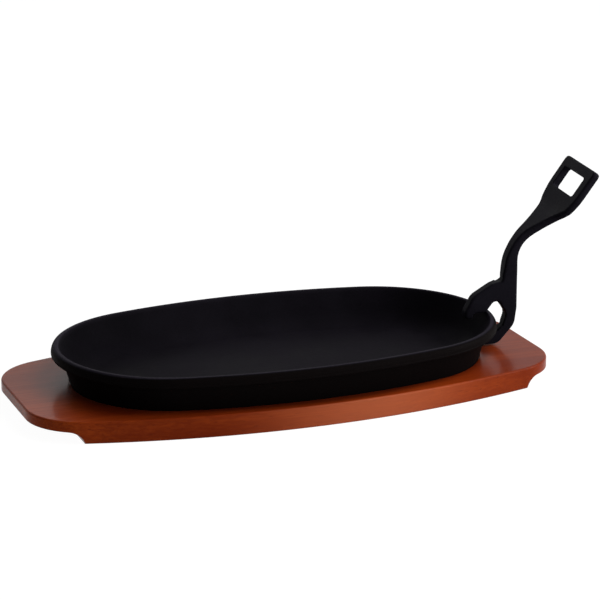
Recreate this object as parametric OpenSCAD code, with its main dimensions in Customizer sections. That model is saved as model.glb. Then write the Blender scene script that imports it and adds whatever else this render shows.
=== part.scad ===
// Sizzle platter: an oval cast pan in the recess of a wooden underliner, with a
// cast gripper handle hooked over the pan's rim.
// +Z is up, +X points to the handle's end, and the origin is the middle of the
// board's underside. All sizes are in millimetres.

/* [Board] */

// Reach of the board beyond the pan's lip at each end
end_margin = 24; // [21:1:40]
// Reach of the board beyond the pan's lip at each side
side_margin = -0.2; // [-2:0.1:8]
// Narrowing of each long side from the middle to the ends
end_taper = 26.8; // [18:0.2:30]
// Radius of the four rounded corners
board_corner_r = 35; // [28:1:40]
// Thickness of the board
board_t = 12.5; // [11:0.5:18]
// Radius of the eased top and bottom edges
board_edge_r = 1.2; // [0.6:0.1:2]
// Depth of the recess that the pan stands in
seat_depth = 2; // [1:0.5:3]
// Gap all round between the pan's foot and the recess wall
seat_clear = 1.2; // [0.5:0.1:2]
// Length of the finger cove under each end
cove_l = 24; // [20:1:28]
// Height of the finger cove over the table
cove_h = 6.5; // [5:0.5:7.5]
// Radius of the cove's inner corner
cove_r = 8.5; // [8:0.5:11]

/* [Pan] */

// Length of the pan over its lip
pan_l = 262; // [240:1:266]
// Width of the pan over its lip
pan_w = 154; // [144:1:164]
// Bow of the long sides beyond the pan's round ends
pan_bow = 7; // [3:0.5:12]
// Height of the pan from its foot to the top of its rim
pan_h = 23; // [21:0.5:30]
// Thickness of the floor
floor_t = 3.8; // [3:0.2:5]
// Outward lean of the outer wall in degrees
wall_lean = 13; // [8:1:16]
// Radius of the foot's outer corner
foot_r = 2.5; // [1:0.5:4]
// Height of the lip from its underside to the top of the rim
lip_h = 5.8; // [5:0.2:7]
// Overhang of the lip beyond the wall at its underside
lip_out = 4.4; // [3.6:0.2:5.4]
// Radius of the hollow under the lip
lip_under_r = 2; // [1:0.5:3]
// Radius of the lip's lower edge
lip_edge_r = 0.9; // [0.5:0.1:1.1]
// Width of the rounding over the lip's outer face
lip_round_w = 2.5; // [2:0.1:3]
// Height of the rounding over the lip's outer face
lip_round_h = 4.4; // [3.4:0.1:4.6]
// Distance from the lip's outer face to the middle of the rim's inner edge
rim_w = 3.4; // [3.1:0.1:4]
// Radius of the rim's inner edge
rim_edge_r = 1.1; // [0.6:0.1:1.4]
// Outward lean of the inner wall in degrees
inner_lean = 33; // [28:1:38]
// Radius between the inner wall and the floor
inner_r = 18; // [14:1:20]

/* [Gripper handle] */

// Turn of the handle round the pan's end in degrees
handle_angle = -7; // [-20:1:20]
// Thickness of the claw plate
plate_t = 8; // [7:0.5:10]
// Radius on the claw plate's edges
plate_edge_r = 1.5; // [1:0.1:1.6]
// Clearance between the jaws and the pan
jaw_gap = 0.25; // [0.2:0.05:0.3]
// Clearance between the lower jaw and the board
jaw_lift = 0.8; // [0.5:0.1:1.5]
// Height of the lower jaw's bearing face
tip_h = 4.8; // [4:0.2:5.6]
// Slope of the slot's seat on the rim in degrees
slot_slope = 40; // [35:1:45]
// Depth of the inner finger below the top of the rim
finger_drop = 4.1; // [3.4:0.1:4.6]
// Distance of the stem's middle outside the pan's lip
stem_out = 10.2; // [10:0.1:10.6]
// Outward lean of the stem over the claw in degrees
stem_lean = 3; // [0:1:8]
// Height of the straight stem's top over the rim
stem_h = 27.5; // [24:0.5:30]
// Width of the stem
stem_w = 9.6; // [9:0.1:11]
// Thickness of the stem where it leaves the claw
stem_t = 9; // [8.4:0.1:9.2]
// Radius of the lower bend
low_bend_r = 26; // [22:1:30]
// Slope of the neck between the bends in degrees
neck_slope = 37; // [30:1:42]
// Length of the neck between the bends
neck_l = 16; // [10:0.1:18]
// Radius of the upper bend
high_bend_r = 25; // [20:1:30]
// Slope of the paddle in degrees
paddle_slope = 54.5; // [50:0.5:60]
// Length of the straight paddle
paddle_l = 27; // [24:0.5:31]
// Width of the paddle
paddle_w = 44; // [40:0.5:46]
// Thickness of the paddle
paddle_t = 4.4; // [4:0.2:6]
// Plan radius of the paddle's outer corners
paddle_corner_r = 3; // [3:0.5:6]
// Width of the hanging hole
hole_w = 31.5; // [26:0.5:33]
// Height of the hanging hole
hole_h = 13; // [11:0.5:14]
// Radius of the hanging hole's corners
hole_corner_r = 1.5; // [1.5:0.5:5]
// Width of the bar over the hanging hole
bar_w = 6.4; // [5:0.2:7]

/* [Hidden] */

$fn = 96;
far = 400;
lap = 2;
seam_a = 0.5;
seam_step = 0.02;

board_colour = [0.55, 0.27, 0.11];
iron_colour = [0.11, 0.1, 0.11];
grip_colour = [0.14, 0.13, 0.14];

board_l = pan_l + 2 * end_margin;
board_w = pan_w + 2 * side_margin;
pan_end_r = pan_w / 2 - pan_bow;

// Board outline: two long arcs, two straight ends and four corner arcs.
board_half = board_l / 2;
side_r = (end_taper * end_taper + board_half * board_half) / (2 * end_taper);
side_off = side_r - board_w / 2;
corner_x = board_half - board_corner_r;
corner_y = sqrt(pow(side_r - board_corner_r, 2) - corner_x * corner_x) - side_off;
corner_a = atan2(corner_y + side_off, corner_x);
cove_drop = cove_r - cove_h;
cove_x = board_half - cove_l + sqrt(cove_r * cove_r - cove_drop * cove_drop);

// Pan outline: four arcs that meet on radial planes.
end_x = pan_l / 2 - pan_end_r;
flank_r = (end_x * end_x + pan_w * pan_w / 4 - pan_end_r * pan_end_r) / (2 * pan_bow);
flank_off = flank_r - pan_w / 2;
joint_a = atan2(flank_off, end_x);
seat_z = board_t - seat_depth;
rim_z = seat_z + pan_h;

// Pan section, as inward distance from the lip and height over the foot.
under_z = pan_h - lip_h;
lean_run = tan(wall_lean);
foot_d = lip_out + under_z * lean_run;
under_mid_z = under_z - lip_under_r;
under_mid_d = lip_out + lip_under_r * lean_run - lip_under_r / cos(wall_lean);
foot_mid_d = foot_d - foot_r * lean_run + foot_r / cos(wall_lean);
rim_mid_z = pan_h - rim_edge_r;
inner_mid_z = floor_t + inner_r;
inner_start = [rim_w + rim_edge_r * cos(inner_lean), rim_mid_z + rim_edge_r * sin(inner_lean)];
inner_mid_d = inner_start[0]
  + (inner_r - (inner_mid_z - inner_start[1]) * sin(inner_lean)) / cos(inner_lean);

function arc(mid, r, from, to, n) =
  [for (i = [0:n]) let (a = from + (to - from) * i / n) mid + r * [cos(a), sin(a)]];

function lip_face(thin, n) =
  [for (i = [0:n]) let (a = 90 * i / n)
    [lip_round_w - (lip_round_w - thin) * cos(a),
      pan_h - lip_round_h + (lip_round_h - thin) * sin(a)]];

// The pan's closed section, drawn in on every side by thin.
function pan_section(thin) = concat(
  [[inner_mid_d + 2 * lap, floor_t - thin], [inner_mid_d + 2 * lap, thin]],
  arc([foot_mid_d, foot_r], foot_r - thin, 270, 180 + wall_lean, 6),
  arc([under_mid_d, under_mid_z], lip_under_r + thin, wall_lean, 90, 6),
  arc([lip_edge_r, under_z + lip_edge_r], lip_edge_r - thin, 270, 180, 5),
  lip_face(thin, 9),
  arc([rim_w, rim_mid_z], rim_edge_r - thin, 90, inner_lean, 5),
  arc([inner_mid_d, inner_mid_z], inner_r + thin, 180 + inner_lean, 270, 12)
);

// Claw outline round the rim, as distance outside the lip, height over the
// rim and corner radius, anticlockwise from the lower jaw's tip.
tip_v = board_t + jaw_lift - rim_z;
tip_top_v = tip_v + tip_h;
touch_r = rim_edge_r + jaw_gap;
seat_in = 0.65;
seat_out = 1;
touch = [-rim_w - touch_r * sin(slot_slope), -rim_edge_r + touch_r * cos(slot_slope)];
slot_v = touch[1] - seat_in;
slot_u = touch[0] - seat_in / tan(slot_slope);
slot_bend_u = touch[0] + seat_out;
slot_bend_v = touch[1] + seat_out * tan(slot_slope);
claw_right = stem_out + stem_t / 2;
claw_left = stem_out - stem_t / 2;
stem_base = 20.5;
nose_r = plate_edge_r + 0.4;
end_edge_r = 0.8;

function wall_u(v) = -(lip_out + (-lip_h - v) * lean_run) + jaw_gap / cos(wall_lean);

claw = [
  [claw_left, stem_base + 4, 0],
  [claw_left, 17.3, 1.8],
  [0, 16.9, 10],
  [-12.2, 9.5, 9],
  [-17, 0.4, 4],
  [-17.2, -finger_drop, nose_r],
  [-12.2, -finger_drop, nose_r],
  [-11.9, slot_v, 1.2],
  [slot_u, slot_v, nose_r],
  [slot_bend_u, slot_bend_v, 4],
  [1.9, 7.6, 2.8],
  [claw_right - 6.3, -1.5, 5],
  [claw_right - 8.4, tip_v + 11.5, 4],
  [0.2, tip_v + 6.1, 5],
  [wall_u(tip_top_v), tip_top_v, nose_r],
  [wall_u(tip_v), tip_v, nose_r],
  [-1, tip_v, 8],
  [claw_right - 2, tip_v + 12.1, 12],
  [claw_right, tip_v + 20.3, 16],
  [claw_right, stem_base + 4, 0]
];

function flat(p) = [p[0], p[1]];
function unit(p) = p / norm(p);

// One rounded corner of a closed outline, drawn in by a given distance.
function corner(pts, i, inset, n) =
  let (
    k = len(pts),
    p = flat(pts[i]),
    back = unit(flat(pts[(i + k - 1) % k]) - p),
    ahead = unit(flat(pts[(i + 1) % k]) - p),
    half = acos(back * ahead) / 2,
    turn = sign(back[1] * ahead[0] - back[0] * ahead[1]),
    mid = p + unit(back + ahead) * pts[i][2] / sin(half),
    start = p + back * pts[i][2] / tan(half) - mid,
    first = atan2(start[1], start[0])
  )
  [for (j = [0:n]) let (a = first + turn * (180 - 2 * half) * j / n)
    mid + (pts[i][2] - turn * inset) * [cos(a), sin(a)]];

function claw_edge(inset) =
  [for (i = [1:len(claw) - 2]) each corner(claw, i, inset, 4)];

// Spine of the stem and paddle: outward distance, height and slope.
stem_l = stem_h - stem_base;
low_l = PI * low_bend_r * (90 - stem_lean - neck_slope) / 180;
high_l = PI * high_bend_r * (paddle_slope - neck_slope) / 180;
neck_s = stem_l + low_l;
high_s = neck_s + neck_l;
paddle_s = high_s + high_l;
end_s = paddle_s + paddle_l;
hole_s = end_s - bar_w - hole_h / 2;
web_s = hole_s - hole_h / 2 - 3;

function ahead(p, l) = [p[0] + l * cos(p[2]), p[1] + l * sin(p[2]), p[2]];
function bend_down(p, r, l) =
  let (a = p[2] - 180 * l / (PI * r)) [p[0] + r * (sin(p[2]) - sin(a)), p[1] + r * (cos(a) - cos(p[2])), a];
function bend_up(p, r, l) =
  let (a = p[2] + 180 * l / (PI * r)) [p[0] + r * (sin(a) - sin(p[2])), p[1] + r * (cos(p[2]) - cos(a)), a];

spine_0 = [stem_out, stem_base, 90 - stem_lean];
spine_1 = ahead(spine_0, stem_l);
spine_2 = bend_down(spine_1, low_bend_r, low_l);
spine_3 = ahead(spine_2, neck_l);
spine_4 = bend_up(spine_3, high_bend_r, high_l);

function spine(s) =
  s < stem_l ? ahead(spine_0, s)
  : s < neck_s ? bend_down(spine_1, low_bend_r, s - stem_l)
  : s < high_s ? ahead(spine_2, s - neck_s)
  : s < paddle_s ? bend_up(spine_3, high_bend_r, s - high_s)
  : ahead(spine_4, s - paddle_s);

function ease(s, l, r) = s < l - r ? 0 : r - sqrt(max(0, r * r - pow(s - l + r, 2)));

function width_at(s) = lookup(s, [
  [0, plate_t], [2, plate_t + 0.5], [5, stem_w],
  [stem_l + 8, stem_w], [stem_l + 16, stem_w + 0.8], [neck_s, stem_w + 3],
  [neck_s + neck_l / 2, stem_w + 10], [high_s, stem_w + 19.5],
  [(high_s + web_s) / 2, paddle_w - 6], [web_s, paddle_w - 1.5], [web_s + 5, paddle_w - 0.4],
  [end_s, paddle_w]
]) - 2 * ease(s, end_s, paddle_corner_r);

function depth_at(s) = lookup(s, [
  [0, stem_t], [2, stem_t - 0.3], [stem_l + 2, paddle_t + 3], [stem_l + 8, paddle_t + 1.4],
  [stem_l + 14, paddle_t + 0.7], [neck_s, paddle_t + 0.6], [high_s, paddle_t], [end_s, paddle_t]
]) - 2 * ease(s, end_s, end_edge_r);

stations = concat(
  [0, 2, 4],
  [for (s = [stem_l:3:web_s]) s],
  [for (i = [0:4]) web_s + (end_s - paddle_corner_r - web_s) * (i + 0.5) / 5],
  [for (a = [0:15:90]) end_s - paddle_corner_r * (1 - sin(a))]
);
station_n = len(stations);

// A point on the outline beside the spine, drawn in, at a layer across the width.
function beside(s, way, inset, side, drop) =
  let (p = spine(s), t = way * (depth_at(s) / 2 - inset))
  [p[0] + t * sin(p[2]), side * (width_at(s) / 2 - drop), p[1] - t * cos(p[2])];

// One whole outline of the handle at one layer of its rounded edge.
function layer(side, a) =
  let (inset = plate_edge_r * (1 - sin(a)), drop = plate_edge_r * (1 - cos(a)))
  concat(
    [for (s = stations) beside(s, 1, inset, side, drop)],
    [for (i = [station_n - 1:-1:0]) beside(stations[i], -1, inset, side, drop)],
    [for (p = claw_edge(inset)) [p[0], side * (plate_t / 2 - drop), p[1]]]
  );

function reversed(l) = [for (i = [len(l) - 1:-1:0]) l[i]];

// The cast body as one closed skin: layers across the width, a flat side over
// the claw, and a strip of side faces that follows the stem and paddle.
module cast_body() {
  angles = [0, 30, 60, 90];
  layers = concat([for (a = angles) layer(-1, a)], [for (a = reversed(angles)) layer(1, a)]);
  k = len(layers[0]);
  m = len(layers);
  side = concat(
    [concat([for (i = [2 * station_n - 1:k - 1]) i], [0])],
    [for (i = [0:station_n - 2]) [i, i + 1, 2 * station_n - 2 - i, 2 * station_n - 1 - i]]
  );
  polyhedron(
    points = [for (l = layers) each l],
    faces = concat(
      [for (f = side) reversed(f)],
      [for (j = [0:m - 2], i = [0:k - 1])
        [j * k + i, j * k + (i + 1) % k, (j + 1) * k + (i + 1) % k, (j + 1) * k + i]],
      [for (f = side) [for (i = f) (m - 1) * k + i]]
    )
  );
}

// A disc of the board with its two edges eased.
module board_disc(r) {
  rotate_extrude()
    polygon(concat(
      [[0, 0]],
      arc([r - board_edge_r, board_edge_r], board_edge_r, 270, 360, 6),
      arc([r - board_edge_r, board_t - board_edge_r], board_edge_r, 0, 90, 6),
      [[0, board_t]]
    ));
}

// The strip between the two board ends, with their edges eased.
module board_strip() {
  rotate([90, 0, 0])
    linear_extrude(height = 2 * board_w, center = true)
      polygon(concat(
        arc([board_edge_r - board_half, board_edge_r], board_edge_r, 180, 270, 6),
        arc([board_half - board_edge_r, board_edge_r], board_edge_r, 270, 360, 6),
        arc([board_half - board_edge_r, board_t - board_edge_r], board_edge_r, 0, 90, 6),
        arc([board_edge_r - board_half, board_t - board_edge_r], board_edge_r, 90, 180, 6)
      ));
}

// One of the four places, turned to every corner.
module four_corners() {
  for (sx = [0, 1], sy = [0, 1])
    mirror([sx, 0, 0])
      mirror([0, sy, 0])
        children();
}

module board_blank() {
  difference() {
    intersection() {
      translate([0, -side_off, 0]) board_disc(side_r);
      translate([0, side_off, 0]) board_disc(side_r);
      board_strip();
    }
    four_corners()
      translate([corner_x, corner_y, -1])
        linear_extrude(height = board_t + 2)
          polygon([
            [0, 0], [board_corner_r + far, 0], [board_corner_r + far, far],
            [far * cos(corner_a), far * sin(corner_a)]
          ]);
  }
  four_corners()
    translate([corner_x, corner_y, 0])
      board_disc(board_corner_r);
}

// The oval inside the lip by a given distance, as a plain block.
module oval(inset, height) {
  joint_x = end_x + (pan_end_r - inset) * cos(joint_a);
  linear_extrude(height = height) {
    intersection() {
      translate([0, -flank_off]) circle(flank_r - inset);
      translate([0, flank_off]) circle(flank_r - inset);
      square([2 * joint_x, 2 * pan_w], center = true);
    }
    for (sx = [-1, 1])
      translate([sx * end_x, 0])
        circle(pan_end_r - inset);
  }
}

module finger_cove() {
  translate([cove_x, 0, -cove_drop])
    rotate([90, 0, 0])
      cylinder(r = cove_r, h = 2 * board_w, center = true);
  translate([cove_x, -board_w, -1])
    cube([board_half, 2 * board_w, cove_h + 1]);
}

module board() {
  color(board_colour)
    difference() {
      board_blank();
      translate([0, 0, seat_z])
        oval(foot_d - seat_clear, far);
      finger_cove();
      mirror([1, 0, 0]) finger_cove();
    }
}

// The pan's section carried round one arc of its outline, centred on +X.
module pan_arc(r, half_a, thin) {
  intersection() {
    rotate_extrude()
      polygon([for (p = pan_section(thin)) [r - p[0], p[1]]]);
    translate([0, 0, -1])
      linear_extrude(height = pan_h + 2)
        polygon([
          [0, 0], [far * cos(half_a), -far * sin(half_a)],
          [2 * far, 0], [far * cos(half_a), far * sin(half_a)]
        ]);
  }
}

module pan() {
  color(iron_colour)
    translate([0, 0, seat_z]) {
      for (sx = [0, 1])
        mirror([sx, 0, 0])
          translate([end_x, 0, 0])
            pan_arc(pan_end_r, joint_a + seam_a, 0);
      for (sy = [0, 1])
        mirror([0, sy, 0])
          translate([0, -flank_off, 0])
            rotate([0, 0, 90])
              pan_arc(flank_r, 90 - joint_a, seam_step);
      oval(inner_mid_d + lap, floor_t);
    }
}

module hanging_hole() {
  p = spine(hole_s);
  translate([p[0], 0, p[1]])
    rotate([0, -p[2], 0])
      linear_extrude(height = 4 * paddle_t, center = true) {
        square([hole_h, hole_w - 2 * hole_corner_r], center = true);
        square([hole_h - 2 * hole_corner_r, hole_w], center = true);
        for (sx = [-1, 1], sy = [-1, 1])
          translate([sx * (hole_h / 2 - hole_corner_r), sy * (hole_w / 2 - hole_corner_r)])
            circle(r = hole_corner_r);
      }
}

module handle() {
  color(grip_colour)
    translate([end_x, 0, rim_z])
      rotate([0, 0, handle_angle])
        translate([pan_end_r, 0, 0])
          difference() {
            cast_body();
            hanging_hole();
          }
}

pan();
board();
handle();
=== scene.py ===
"""Sizzle platter: the looks of a cast pan on a wooden underliner with its gripper handle.

The scene is in metres. Sizes of pieces are given in millimetres and degrees here and
become metres when a mesh is made. Places in the materials are in metres, as Object
coordinates are.
"""

import math

import bpy
import numpy as np
from mathutils import Matrix, Vector


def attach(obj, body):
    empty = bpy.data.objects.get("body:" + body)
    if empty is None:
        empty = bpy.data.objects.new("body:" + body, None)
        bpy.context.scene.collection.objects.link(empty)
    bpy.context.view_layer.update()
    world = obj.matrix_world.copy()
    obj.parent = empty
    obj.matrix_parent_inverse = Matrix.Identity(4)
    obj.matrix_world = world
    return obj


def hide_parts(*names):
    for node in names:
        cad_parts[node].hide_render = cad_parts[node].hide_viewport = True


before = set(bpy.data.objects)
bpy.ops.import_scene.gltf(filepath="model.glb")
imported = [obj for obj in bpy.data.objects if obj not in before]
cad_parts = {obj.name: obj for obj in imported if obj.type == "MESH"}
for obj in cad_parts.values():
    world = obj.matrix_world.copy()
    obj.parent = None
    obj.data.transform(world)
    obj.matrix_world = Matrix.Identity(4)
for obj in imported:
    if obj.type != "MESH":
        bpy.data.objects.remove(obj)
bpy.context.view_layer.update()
MM = 0.001

# The pan. Its outline and rim are the solid's; the wall and the lip's underside stand
# further in.
SEAT_Z = 10.5  # floor of the board's recess, on which the pan stands
PAN_L, PAN_W, PAN_H = 262.0, 154.0, 23.0
PAN_BOW = 7.0  # how far a flank bows out past the end arcs
FLOOR_T = 3.8
WALL_LEAN, FOOT_R = 16.5, 2.5
LIP_OUT, LIP_H = 5.6, 5.8
UNDER_R, LIP_EDGE_R = 3.2, 1.4
FACE_W, FACE_H = 2.5, 4.4  # the rounding from the lip's face to the rim's top
RIM_W, RIM_EDGE_R = 3.4, 1.1
INNER_LEAN, INNER_R = 33.0, 18.0
UNDER_RINGS = (40.0, 20.0)  # inward from the outline, on the underside
FLOOR_RINGS = (8.0, 18.0)  # inward from the cove's end, on the floor
FACE_ROWS, FACE_DARK_ROWS = 15, 11  # points up the rounding, those on the outer side
END_POINTS, FLANK_POINTS = 150, 60  # on each end arc and each flank arc

# How light the pan's colour is: a painted highlight round the rim, and painted shade darkest on
# the slope.
RIM_TONE, FLOOR_TONE, SLOPE_SHADE = 1.75, 0.66, 0.14
SLOPE_H = 6.0  # height over the floor at which the slope's painted shade is darkest
RIM_HIGHLIGHT_MID, RIM_HIGHLIGHT_HALF = 3.1, 1.1  # inward from the outline
RIM_HIGHLIGHT_DEPTH = 1.6  # below the rim's top
LEFT_ZONE = (60.0, 115.0)  # left of the middle, where the painted rim highlight grows
LEFT_SHIFT, LEFT_WIDER = 0.5, 0.7

# The gripper: its turn, and where and how far the scene moves its edges. The zones run
# up, away from the eye, forward, and away from the paddle's middle.
HANDLE_TURN = math.radians(-7)
EYE = (131.0, 27.0)  # middle of the jaw's eye: forward, up
JAW_FULL = 4.0
JAW_LOW, JAW_EDGE, JAW_FRONT = (12.0, 33.0), (6.8, 9.2), (124.5, 127.5)
PADDLE_MID, PADDLE_SIDES, PADDLE_EDGE = 7.43, (3.0, 1.4), (13.0, 21.0)

# The board: how far its recess is drawn in, and from where inside the pan's outline.
RECESS_IN, RECESS_BAND = 2.3, (3.0, 6.0)

# The oval: two end arcs and two flank arcs that meet at JOINT.
END_R = PAN_W / 2 - PAN_BOW
END_X = PAN_L / 2 - END_R
FLANK_R = (END_X**2 + PAN_W**2 / 4 - END_R**2) / (PAN_W - 2 * END_R)
FLANK_OFF = FLANK_R - PAN_W / 2
JOINT = math.atan2(FLANK_OFF, END_X)


def arc(mid, r, start, end, n):
    """Points of an arc between two angles in degrees: middle plus radius times the direction."""
    a = np.radians(np.linspace(start, end, n + 1))
    return np.stack([mid[0] + r * np.cos(a), mid[1] + r * np.sin(a)], 1)


def between(a, b, n):
    """The n points that part the straight line from a to b evenly, without its ends."""
    return a + (b - a) * np.linspace(0, 1, n + 2)[1:-1, None]


def smooth_step(x, low, high):
    """0 below low, 1 above high, and 3t^2 - 2t^3 in between."""
    t = np.clip((x - low) / (high - low), 0, 1)
    return t * t * (3 - 2 * t)


def link_object(name, data):
    """An object at the origin with this data, in the scene."""
    obj = bpy.data.objects.new(name, data)
    bpy.context.scene.collection.objects.link(obj)
    return obj


def smooth_mesh_object(name, points_mm, faces):
    """A smooth-shaded mesh object from points in millimetres and lists of corners."""
    mesh = bpy.data.meshes.new(name)
    mesh.from_pydata((np.asarray(points_mm) * MM).tolist(), [], faces)
    mesh.validate()
    mesh.polygons.foreach_set("use_smooth", np.full(len(mesh.polygons), True))
    return link_object(name, mesh)


def grid_faces(rows, cols):
    """Four-sided faces of a grid of rows by cols points whose rows are closed rings."""
    i, j = np.meshgrid(np.arange(rows - 1), np.arange(cols), indexing="ij")
    here, ahead = i * cols, (i + 1) * cols
    k = (j + 1) % cols
    return np.stack([here + j, here + k, ahead + k, ahead + j], -1).reshape(-1, 4).tolist()


# ---- pan -----------------------------------------------------------------


def oval_frame(n_end, n_flank):
    """Middle, radius and outward direction of each point round the four arcs, anticlockwise."""
    mids, radii, dirs = [], [], []
    for mid, r, start, end, n in (
        ((END_X, 0), END_R, -JOINT, JOINT, n_end),
        ((0, -FLANK_OFF), FLANK_R, JOINT, math.pi - JOINT, n_flank),
        ((-END_X, 0), END_R, math.pi - JOINT, math.pi + JOINT, n_end),
        ((0, FLANK_OFF), FLANK_R, math.pi + JOINT, 2 * math.pi - JOINT, n_flank),
    ):
        a = np.linspace(start, end, n, endpoint=False)
        mids.append(np.tile(mid, (n, 1)))
        radii.append(np.full(n, r))
        dirs.append(np.stack([np.cos(a), np.sin(a)], 1))
    return np.concatenate(mids), np.concatenate(radii), np.concatenate(dirs)


def pan_section():
    """The pan's section from under its middle round the lip to its floor.

    Gives each row's distance inward from the outline and its height, and whether the row
    is on the outer side. The arcs touch the straight lines between them: a middle lies one
    radius, square to the leaning line, from where that line would be.
    """
    lean, inner_lean = math.radians(WALL_LEAN), math.radians(INNER_LEAN)
    under_z = PAN_H - LIP_H
    foot_d = LIP_OUT + under_z * math.tan(lean)
    foot_mid = (foot_d - FOOT_R * math.tan(lean) + FOOT_R / math.cos(lean), FOOT_R)
    under_d = LIP_OUT + UNDER_R * math.tan(lean) - UNDER_R / math.cos(lean)
    rim_mid = (RIM_W, PAN_H - RIM_EDGE_R)
    slope_d = RIM_W + RIM_EDGE_R * math.cos(inner_lean)
    slope_z = rim_mid[1] + RIM_EDGE_R * math.sin(inner_lean)
    inner_z = FLOOR_T + INNER_R
    drop = (inner_z - slope_z) * math.sin(inner_lean)
    inner_d = slope_d + (INNER_R - drop) / math.cos(inner_lean)

    foot = arc(foot_mid, FOOT_R, 270, 180 + WALL_LEAN, 8)
    under = arc((under_d, under_z - UNDER_R), UNDER_R, WALL_LEAN, 90, 8)
    edge = arc((LIP_EDGE_R, under_z + LIP_EDGE_R), LIP_EDGE_R, 270, 180, 7)
    t = np.radians(np.linspace(0, 90, FACE_ROWS))
    face = np.stack([FACE_W * (1 - np.cos(t)), PAN_H - FACE_H * (1 - np.sin(t))], 1)
    rim = arc(rim_mid, RIM_EDGE_R, 90, INNER_LEAN, 8)
    inner = arc((inner_d, inner_z), INNER_R, 180 + INNER_LEAN, 270, 22)

    bottom = [[d, 0.0] for d in UNDER_RINGS]
    floor = [[inner_d + d, FLOOR_T] for d in FLOOR_RINGS]
    wall = between(foot[-1], under[0], 5)
    outside = [bottom, foot, wall, under, edge, face[:FACE_DARK_ROWS]]
    inside = [face[FACE_DARK_ROWS:], rim, between(rim[-1], inner[0], 5), inner, floor]
    rows = np.concatenate(outside + inside)
    return rows, np.arange(len(rows)) < sum(map(len, outside))


def pan_tone(section, x):
    """How light the pan's colour is at each point.

    The rim carries a painted highlight in a band exp(-(offset / half width)^4), which is widest
    at the left; the slope has painted shade, darker than the floor.
    """
    inward, height = section[:, 0:1], section[:, 1:2]
    left = smooth_step(-x, *LEFT_ZONE)
    offset = (inward - RIM_HIGHLIGHT_MID + LEFT_SHIFT * left) / (RIM_HIGHLIGHT_HALF + LEFT_WIDER * left)
    # painted highlight: the band round the rim is lightened as a highlight would light it
    rim = np.exp(-(offset**4)) * (height > PAN_H - RIM_HIGHLIGHT_DEPTH)
    # painted shade: the slope is darker than the floor by SLOPE_SHADE
    tone = FLOOR_TONE - SLOPE_SHADE * smooth_step(height, FLOOR_T, FLOOR_T + SLOPE_H)
    return tone + (RIM_TONE - tone) * rim


def make_pan():
    """The oval skin.

    Each point is its arc's middle plus (radius less the section's inward distance) times
    its direction, raised by the section's height. Two many-sided faces close it.
    """
    mids, radii, dirs = oval_frame(END_POINTS, FLANK_POINTS)
    section, outside = pan_section()
    rows, cols = len(section), len(radii)
    r = radii[None, :] - section[:, 0:1]
    xy = mids[None] + r[..., None] * dirs[None]
    z = np.repeat(section[:, 1:2], cols, 1) + SEAT_Z
    points = np.concatenate([xy, z[..., None]], -1).reshape(-1, 3)
    faces = grid_faces(rows, cols)
    faces.append(list(range(cols))[::-1])
    faces.append([(rows - 1) * cols + i for i in range(cols)])
    obj = smooth_mesh_object("pan_body", points, faces)
    for name, values in (
        ("outer_side", np.repeat(outside, cols)),
        ("tone", pan_tone(section, xy[..., 0]).ravel()),
    ):
        attribute = obj.data.attributes.new(name, "FLOAT", "POINT")
        attribute.data.foreach_set("value", values.astype(np.float32))
    return obj


# ---- gripper and underliner ------------------------------------------------


def solid_points(solid):
    """A solid's points in millimetres, in the scene's axes."""
    co = np.empty(len(solid.data.vertices) * 3)
    solid.data.vertices.foreach_get("co", co)
    place = np.array(solid.matrix_world)
    return (co.reshape(-1, 3) @ place[:3, :3].T + place[:3, 3]) / MM


def make_gripper(solid):
    """The gripper from the solid's points, in its own plane: u forward, n across, z up.

    The lower jaw's outer edge moves forward by up to JAW_FULL at its bottom, and the
    paddle's two side edges move outwards by PADDLE_SIDES, each eased in from nothing.
    """
    points = solid_points(solid)
    solid.data.calc_loop_triangles()
    corners = np.empty(len(solid.data.loop_triangles) * 3, dtype=np.int32)
    solid.data.loop_triangles.foreach_get("vertices", corners)
    along = np.array([math.cos(HANDLE_TURN), math.sin(HANDLE_TURN)])
    across = np.array([-along[1], along[0]])
    u, n, z = points[:, :2] @ along, points[:, :2] @ across, points[:, 2]

    low = 1 - smooth_step(z, *JAW_LOW)
    outer = smooth_step(np.hypot(u - EYE[0], z - EYE[1]), *JAW_EDGE)
    u = u + JAW_FULL * low * outer * smooth_step(u, *JAW_FRONT)

    side = n - PADDLE_MID
    widen = np.where(side < 0, *PADDLE_SIDES) * smooth_step(np.abs(side), *PADDLE_EDGE)
    n = n + np.sign(side) * widen

    xy = u[:, None] * along + n[:, None] * across
    faces = corners.reshape(-1, 3).tolist()
    return smooth_mesh_object("gripper", np.column_stack([xy, z]), faces)


def make_underliner(solid):
    """A copy of the board's mesh with its recess drawn in to the pan's foot.

    Each point from the recess's floor up moves RECESS_IN towards the middle of the pan's
    nearest arc, eased in over RECESS_BAND, so the board's own edge stays.
    """
    points = solid_points(solid)
    x, y = np.abs(points[:, 0]), np.abs(points[:, 1])
    on_end = np.arctan2(y, x - END_X) <= JOINT
    mid = np.stack([np.where(on_end, END_X, 0), np.where(on_end, 0, -FLANK_OFF)], 1)
    out = np.stack([x, y], 1) - mid
    reach = np.hypot(out[:, 0], out[:, 1])
    inside = np.where(on_end, END_R, FLANK_R) - reach
    move = RECESS_IN * smooth_step(inside, *RECESS_BAND) * (points[:, 2] > SEAT_Z - 0.1)
    points[:, :2] -= np.sign(points[:, :2]) * out * (move / reach)[:, None]
    mesh = solid.data.copy()
    mesh.vertices.foreach_set("co", (points * MM).ravel())
    mesh.update()
    return link_object("underliner", mesh)


def soften(obj, voxel_mm, rounds):
    """Round a casting's edges: an even fine mesh, each point drawn to its neighbours' mean."""
    remesh = obj.modifiers.new("even_mesh", "REMESH")
    remesh.mode = "VOXEL"
    remesh.voxel_size = voxel_mm * MM
    remesh.use_smooth_shade = True
    smooth = obj.modifiers.new("rounded", "SMOOTH")
    smooth.factor = 0.5
    smooth.iterations = rounds


# ---- shader helpers ------------------------------------------------------


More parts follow.
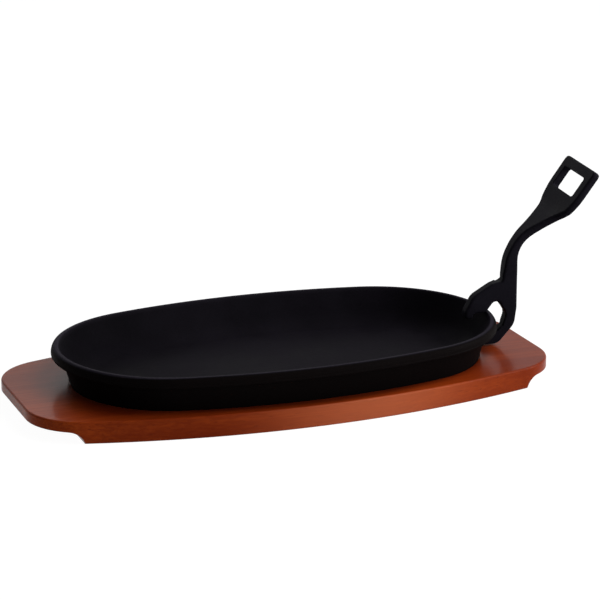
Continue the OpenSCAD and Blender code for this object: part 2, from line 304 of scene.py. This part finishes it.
def new_group(name, inputs, outputs):
    """An empty shader node group with named inputs (name, type) and value outputs."""
    group = bpy.data.node_groups.new(name, "ShaderNodeTree")
    for label, kind in inputs:
        group.interface.new_socket(name=label, in_out="INPUT", socket_type=kind)
    for label in outputs:
        group.interface.new_socket(name=label, in_out="OUTPUT", socket_type="NodeSocketFloat")
    return group, group.nodes.new("NodeGroupInput"), group.nodes.new("NodeGroupOutput")


def feed(tree, socket, value):
    """Link a socket to an input, or set the input to a value."""
    if isinstance(value, bpy.types.NodeSocket):
        tree.links.new(value, socket)
    else:
        socket.default_value = value


def maths(tree, operation, a, b):
    """A Math node's result on two sockets or numbers."""
    node = tree.nodes.new("ShaderNodeMath")
    node.operation = operation
    feed(tree, node.inputs[0], a)
    feed(tree, node.inputs[1], b)
    return node.outputs[0]


def times(tree, a, b):
    """The product of two sockets or numbers."""
    return maths(tree, "MULTIPLY", a, b)


def mix_colour(tree, factor, a, b, mode="MIX"):
    """A colour Mix node's result; factor, a and b are sockets or values."""
    node = tree.nodes.new("ShaderNodeMix")
    node.data_type = "RGBA"
    node.blend_type = mode
    for i, value in ((0, factor), (6, a), (7, b)):
        feed(tree, node.inputs[i], value)
    return node.outputs[2]


def scaled_colour(tree, colour, value):
    """A colour times a value that changes over the surface."""
    grey = tree.nodes.new("ShaderNodeCombineColor")
    for socket in grey.inputs:
        tree.links.new(value, socket)
    return mix_colour(tree, 1.0, colour, grey.outputs[0], "MULTIPLY")


def noise(tree, vector, scale, detail, rough=0.5):
    """A Noise texture's factor on a vector."""
    node = tree.nodes.new("ShaderNodeTexNoise")
    node.inputs["Scale"].default_value = scale
    node.inputs["Detail"].default_value = detail
    node.inputs["Roughness"].default_value = rough
    tree.links.new(vector, node.inputs["Vector"])
    return node.outputs["Fac"]


def stretched(tree, vector, scale):
    """A vector scaled along its three axes."""
    node = tree.nodes.new("ShaderNodeMapping")
    node.inputs["Scale"].default_value = scale
    tree.links.new(vector, node.inputs["Vector"])
    return node.outputs["Vector"]


def span(tree, value, low, high, to_low, to_high):
    """A value mapped from low..high to to_low..to_high with eased ends."""
    node = tree.nodes.new("ShaderNodeMapRange")
    node.interpolation_type = "SMOOTHSTEP"
    tree.links.new(value, node.inputs["Value"])
    node.inputs["From Min"].default_value = low
    node.inputs["From Max"].default_value = high
    node.inputs["To Min"].default_value = to_low
    node.inputs["To Max"].default_value = to_high
    return node.outputs["Result"]


def axes(tree, vector):
    """The three parts of a vector."""
    node = tree.nodes.new("ShaderNodeSeparateXYZ")
    tree.links.new(vector, node.inputs[0])
    return node.outputs["X"], node.outputs["Y"], node.outputs["Z"]


def attribute_value(tree, name):
    """A point attribute's value."""
    node = tree.nodes.new("ShaderNodeAttribute")
    node.attribute_name = name
    return node.outputs["Fac"]


def cast_surface_group():
    """Sand-cast iron under seasoning: a grain, and broad patches of more and less shine.

    Grain scales the height of the bump, and Base is the roughness that the patches vary.
    """
    group, given, made = new_group(
        "cast_surface",
        [
            ("Vector", "NodeSocketVector"),
            ("Grain", "NodeSocketFloat"),
            ("Base", "NodeSocketFloat"),
        ],
        ["Roughness", "Tone", "Height"],
    )
    vector = given.outputs["Vector"]
    fine = noise(group, vector, 1500, 2.0, 0.6)
    pebble = noise(group, vector, 520, 3.0, 0.55)
    patch = noise(group, vector, 38, 3.0)
    grain = maths(group, "ADD", times(group, fine, 0.35), times(group, pebble, 0.65))
    height = times(group, grain, given.outputs["Grain"])
    patchy = span(group, patch, 0.3, 0.7, -0.05, 0.06)
    rough = maths(group, "ADD", given.outputs["Base"], patchy)
    group.links.new(rough, made.inputs["Roughness"])
    group.links.new(span(group, patch, 0.25, 0.75, 0.82, 1.15), made.inputs["Tone"])
    group.links.new(height, made.inputs["Height"])
    return group


def wood_grain_group():
    """Flat-sawn hardwood: growth bands, long fibres and short pores that run along the board."""
    group, given, made = new_group(
        "wood_grain", [("Vector", "NodeSocketVector")], ["Band", "Fibre", "Pore"]
    )
    vector = given.outputs["Vector"]
    warp = noise(group, stretched(group, vector, (4, 9, 9)), 1.0, 2.0)
    bend = group.nodes.new("ShaderNodeVectorMath")
    bend.operation = "MULTIPLY_ADD"
    group.links.new(warp, bend.inputs[0])
    bend.inputs[1].default_value = (0.0, 0.03, 0.012)
    group.links.new(vector, bend.inputs[2])
    band = noise(group, stretched(group, bend.outputs[0], (2.2, 60, 85)), 1.0, 4.0, 0.6)
    fibre = noise(group, stretched(group, vector, (14, 900, 900)), 1.0, 2.0, 0.6)
    pore = noise(group, stretched(group, vector, (90, 1500, 1500)), 1.0, 1.0)
    group.links.new(span(group, band, 0.3, 0.7, 0.0, 1.0), made.inputs["Band"])
    group.links.new(fibre, made.inputs["Fibre"])
    group.links.new(span(group, pore, 0.64, 0.74, 0.0, 1.0), made.inputs["Pore"])
    return group


def start_material(name):
    """A material with only an output and a Principled shader, and its Object coordinates."""
    material = bpy.data.materials.new(name)
    material.use_nodes = True
    tree = material.node_tree
    tree.nodes.clear()
    out = tree.nodes.new("ShaderNodeOutputMaterial")
    shader = tree.nodes.new("ShaderNodeBsdfPrincipled")
    tree.links.new(shader.outputs[0], out.inputs[0])
    return material, tree, shader, tree.nodes.new("ShaderNodeTexCoord").outputs["Object"]


def place_group(tree, group, vector, **values):
    """A group's outputs in this material, on a vector and with its own values."""
    node = tree.nodes.new("ShaderNodeGroup")
    node.node_tree = group
    tree.links.new(vector, node.inputs["Vector"])
    for label, value in values.items():
        node.inputs[label].default_value = value
    return node.outputs


def add_bump(tree, shader, height, distance):
    """A bump of this many metres from a height that changes over the surface."""
    node = tree.nodes.new("ShaderNodeBump")
    node.inputs["Distance"].default_value = distance
    tree.links.new(height, node.inputs["Height"])
    tree.links.new(node.outputs[0], shader.inputs["Normal"])


CAST = cast_surface_group()
GRAIN = wood_grain_group()
CAST_GRAIN, CAST_ROUGH = 0.6, 0.45
CAST_BUMP, PORE_BUMP = 0.00022, 0.00004  # metres
# The pan's outside colour is painted shade: the wall under the lip, about three times darker
# than the inside.
PAN_INSIDE, PAN_OUTSIDE_SHADED = (0.0125, 0.0108, 0.0150, 1), (0.004, 0.003, 0.003, 1)
GRIP_COLOUR = (0.0094, 0.0085, 0.0122, 1)
PAN_IOR, GRIP_IOR = 1.035, 1.05


def iron_material(name, colour, ior, outer_colour=None):
    """Black seasoned iron.

    With an outer colour it is the pan's: it reads the tone and outer_side attributes, and
    painted shade darkens the inside towards the left.
    """
    material, tree, shader, vector = start_material(name)
    cast = place_group(tree, CAST, vector, Grain=CAST_GRAIN, Base=CAST_ROUGH)
    tint = scaled_colour(tree, colour, cast["Tone"])
    if outer_colour:
        tone = attribute_value(tree, "tone")
        # tone values above 0.8 are the painted rim highlight
        rim = span(tree, tone, 0.8, 1.6, 0.0, 1.0)
        # painted shade: the inside darkens towards the left, less on the painted rim highlight
        left = span(tree, axes(tree, vector)[0], -0.12, -0.02, 0.5, 0.0)
        left_shade = times(tree, left, maths(tree, "SUBTRACT", 1.0, rim))
        level = times(tree, tone, maths(tree, "SUBTRACT", 1.0, left_shade))
        inner = scaled_colour(tree, tint, level)
        # painted shade: the outer side takes the darker outside colour, except in the painted
        # rim highlight
        outer = mix_colour(tree, rim, outer_colour, inner)
        tint = mix_colour(tree, attribute_value(tree, "outer_side"), inner, outer)
    tree.links.new(tint, shader.inputs["Base Color"])
    tree.links.new(cast["Roughness"], shader.inputs["Roughness"])
    shader.inputs["IOR"].default_value = ior
    add_bump(tree, shader, cast["Height"], CAST_BUMP)
    return material


WOOD_LIGHT = (0.40, 0.062, 0.008, 1)
WOOD_DARK = (0.23, 0.027, 0.003, 1)
WOOD_STREAK = (0.20, 0.022, 0.003, 1)
WOOD_PORE = (0.09, 0.012, 0.003, 1)
# painted highlight on the middle of the front face
WOOD_SHEEN = (0.44, 0.115, 0.05, 1)
# painted shade towards both ends of the board
WOOD_END_SHADE = (0.085, 0.006, 0.0008, 1)
# painted shade and painted reflection of the black pan on the top round it
WOOD_PAN_SHADE = (0.04, 0.004, 0.0006, 1)
PAN_SHADE_X, PAN_SHADE_Y = 0.127, 0.073  # half axes of the oval of painted shade and painted reflection round the pan


def wood_colour(tree, vector, grain):
    """Stained wood with painted light: highlight on the front, shade at both ends, the pan's
    shade and reflection round it.
    """
    colour = mix_colour(tree, grain["Band"], WOOD_LIGHT, WOOD_DARK)
    streak = span(tree, grain["Fibre"], 0.35, 0.65, 0.0, 0.5)
    colour = mix_colour(tree, streak, colour, WOOD_STREAK)
    colour = mix_colour(tree, times(tree, grain["Pore"], 0.45), colour, WOOD_PORE)

    x, y, z = axes(tree, vector)
    # painted highlight: the front face's middle is lightened and greyed as a varnish sheen
    front = span(tree, y, -0.07, -0.05, 1.0, 0.0)
    below_top = span(tree, z, 0.0121, 0.0125, 1.0, 0.0)
    middle = times(
        tree, span(tree, x, -0.07, 0.03, 0.0, 0.68), span(tree, x, 0.03, 0.11, 1.0, 0.15)
    )
    sheen = times(tree, middle, times(tree, front, below_top))
    colour = mix_colour(tree, sheen, colour, WOOD_SHEEN)

    # painted shade: the board darkens towards the left end and the right end
    left = times(
        tree, span(tree, x, -0.14, -0.115, 0.0, 0.45), span(tree, x, -0.08, 0.01, 1.0, 0.0)
    )
    end_shade = maths(tree, "ADD", left, span(tree, x, 0.06, 0.15, 0.0, 0.5))
    colour = mix_colour(tree, end_shade, colour, WOOD_END_SHADE)

    # painted shade and reflection: the top darkens inside an oval round the pan
    across, along = maths(tree, "DIVIDE", x, PAN_SHADE_X), maths(tree, "DIVIDE", y, PAN_SHADE_Y)
    reach = maths(tree, "ADD", times(tree, across, across), times(tree, along, along))
    top = span(tree, z, 0.0115, 0.0122, 0.0, 1.0)
    pan_shade = times(tree, span(tree, reach, 0.92, 1.16, 0.75, 0.0), top)
    return mix_colour(tree, pan_shade, colour, WOOD_PAN_SHADE)


def wood_material():
    """Reddish stained hardwood under a thin satin varnish."""
    material, tree, shader, vector = start_material("stained_wood")
    grain = place_group(tree, GRAIN, vector)
    tree.links.new(wood_colour(tree, vector, grain), shader.inputs["Base Color"])
    for label, value in (
        ("Roughness", 0.55),
        ("Specular IOR Level", 0.02),
        ("Coat Weight", 0.75),
        ("Coat IOR", 1.1),
        ("Coat Roughness", 0.2),
    ):
        shader.inputs[label].default_value = value
    height = maths(tree, "SUBTRACT", times(tree, grain["Fibre"], 0.3), grain["Pore"])
    add_bump(tree, shader, height, PORE_BUMP)
    return material


# ---- pieces --------------------------------------------------------------


def use_material(obj, material):
    """Give a piece this one material."""
    obj.data.materials.clear()
    obj.data.materials.append(material)


pan = make_pan()
use_material(pan, iron_material("seasoned_iron", PAN_INSIDE, PAN_IOR, PAN_OUTSIDE_SHADED))
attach(pan, "root")
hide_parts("pan")

board = make_underliner(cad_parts["board"])
use_material(board, wood_material())
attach(board, "root")
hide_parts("board")

handle = make_gripper(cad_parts["handle"])
use_material(handle, iron_material("handle_iron", GRIP_COLOUR, GRIP_IOR))
soften(handle, voxel_mm=0.35, rounds=2)
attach(handle, "root")
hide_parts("handle")

# ---- stage, light and camera ----------------------------------------------

# Name, place, size of the panel and watts; all look at the origin.
LAMPS = (
    ("key", (1.3, -0.4, 0.6), (0.8, 0.7), 15),
    ("high", (0.7, -0.3, 1.2), (0.9, 0.9), 7),
    ("front", (0.9, -1.2, 0.35), (0.8, 0.5), 8),
    ("back", (0.1, 1.2, 0.7), (1.2, 0.6), 2.5),
)
WORLD_STRENGTH = 0.08
FLOOR_HALF, FLOOR_Z = 6.0, -0.0001
FLOOR_GLOW, FLOOR_SHADOWED = 0.97, 0.12
FRAME_PX, SENSOR_MM = 600.0, 36.0


def area_light(name, place, size, watts):
    """A rectangular lamp that looks at the origin."""
    data = bpy.data.lights.new(name, "AREA")
    data.shape = "RECTANGLE"
    data.size, data.size_y = size
    data.energy = watts
    obj = link_object(name, data)
    obj.location = place
    obj.rotation_euler = (-Vector(place)).to_track_quat("-Z", "Y").to_euler()


def new_shader(tree, kind, label, value):
    """A shader node with one input set."""
    node = tree.nodes.new(kind)
    node.inputs[label].default_value = value
    return node


def show_white(tree, out, dim, white):
    """Send white to rays from the camera, mirrors and glass, and dim to all others."""
    path = tree.nodes.new("ShaderNodeLightPath").outputs
    direct = maths(tree, "MAXIMUM", path["Is Camera Ray"], path["Is Glossy Ray"])
    mix = tree.nodes.new("ShaderNodeMixShader")
    seen = maths(tree, "MAXIMUM", direct, path["Is Transmission Ray"])
    tree.links.new(seen, mix.inputs[0])
    tree.links.new(dim.outputs[0], mix.inputs[1])
    tree.links.new(white.outputs[0], mix.inputs[2])
    tree.links.new(mix.outputs[0], out.inputs[0])


def make_world():
    """Even pale surroundings, pure white to the camera."""
    world = bpy.data.worlds.new("studio")
    bpy.context.scene.world = world
    world.use_nodes = True
    tree = world.node_tree
    tree.nodes.clear()
    out = tree.nodes.new("ShaderNodeOutputWorld")
    dim, white = (tree.nodes.new("ShaderNodeBackground") for _ in range(2))
    for node, strength in ((dim, WORLD_STRENGTH), (white, 1.0)):
        node.inputs["Color"].default_value = (1, 1, 1, 1)
        node.inputs["Strength"].default_value = strength
    show_white(tree, out, dim, white)


def make_floor():
    """A wide table: white to the camera, with a faint shadow kept by its diffuse share."""
    mesh = bpy.data.meshes.new("table")
    s, z = FLOOR_HALF, FLOOR_Z
    mesh.from_pydata([(-s, -s, z), (s, -s, z), (s, s, z), (-s, s, z)], [], [(0, 1, 2, 3)])
    obj = link_object("table", mesh)
    material = bpy.data.materials.new("table_white")
    material.use_nodes = True
    tree = material.node_tree
    tree.nodes.clear()
    out = tree.nodes.new("ShaderNodeOutputMaterial")
    matte = new_shader(tree, "ShaderNodeBsdfDiffuse", "Color", (0.8, 0.8, 0.8, 1))
    glow = new_shader(tree, "ShaderNodeEmission", "Strength", FLOOR_GLOW)
    shadowed = (FLOOR_SHADOWED, FLOOR_SHADOWED, FLOOR_SHADOWED, 1)
    faint = new_shader(tree, "ShaderNodeBsdfDiffuse", "Color", shadowed)
    white = tree.nodes.new("ShaderNodeAddShader")
    tree.links.new(glow.outputs[0], white.inputs[0])
    tree.links.new(faint.outputs[0], white.inputs[1])
    show_white(tree, out, matte, white)
    mesh.materials.append(material)


def make_camera(azimuth, elevation, roll, distance, focal_px, shift_x, shift_z):
    """The photograph's camera.

    Its back vector is (sin az cos el, -cos az cos el, sin el). It stands that way from the
    origin by the distance, moved across its view by the two shifts, all in millimetres.
    """
    a, e, r = (math.radians(v) for v in (azimuth, elevation, roll))
    back = Vector((math.sin(a) * math.cos(e), -math.cos(a) * math.cos(e), math.sin(e)))
    level = (-back).cross(Vector((0, 0, 1))).normalized()
    upright = level.cross(-back)
    right = level * math.cos(r) + upright * math.sin(r)
    up = upright * math.cos(r) - level * math.sin(r)
    data = bpy.data.cameras.new("camera")
    data.sensor_width = SENSOR_MM
    data.lens = focal_px * SENSOR_MM / FRAME_PX
    data.clip_start, data.clip_end = 0.05, 50.0
    camera = link_object("camera", data)
    place = (back * distance + right * shift_x + up * shift_z) * MM
    turn = Matrix((right, up, back)).transposed().to_4x4()
    camera.matrix_world = Matrix.Translation(place) @ turn
    bpy.context.scene.camera = camera


make_world()
make_floor()
for lamp in LAMPS:
    area_light(*lamp)
make_camera(
    azimuth=-20.73,
    elevation=16.27,
    roll=-0.21,
    distance=1444.71,
    focal_px=2514.38,
    shift_x=12.97,
    shift_z=49.00,
)
bpy.context.scene.view_settings.view_transform = "Standard"
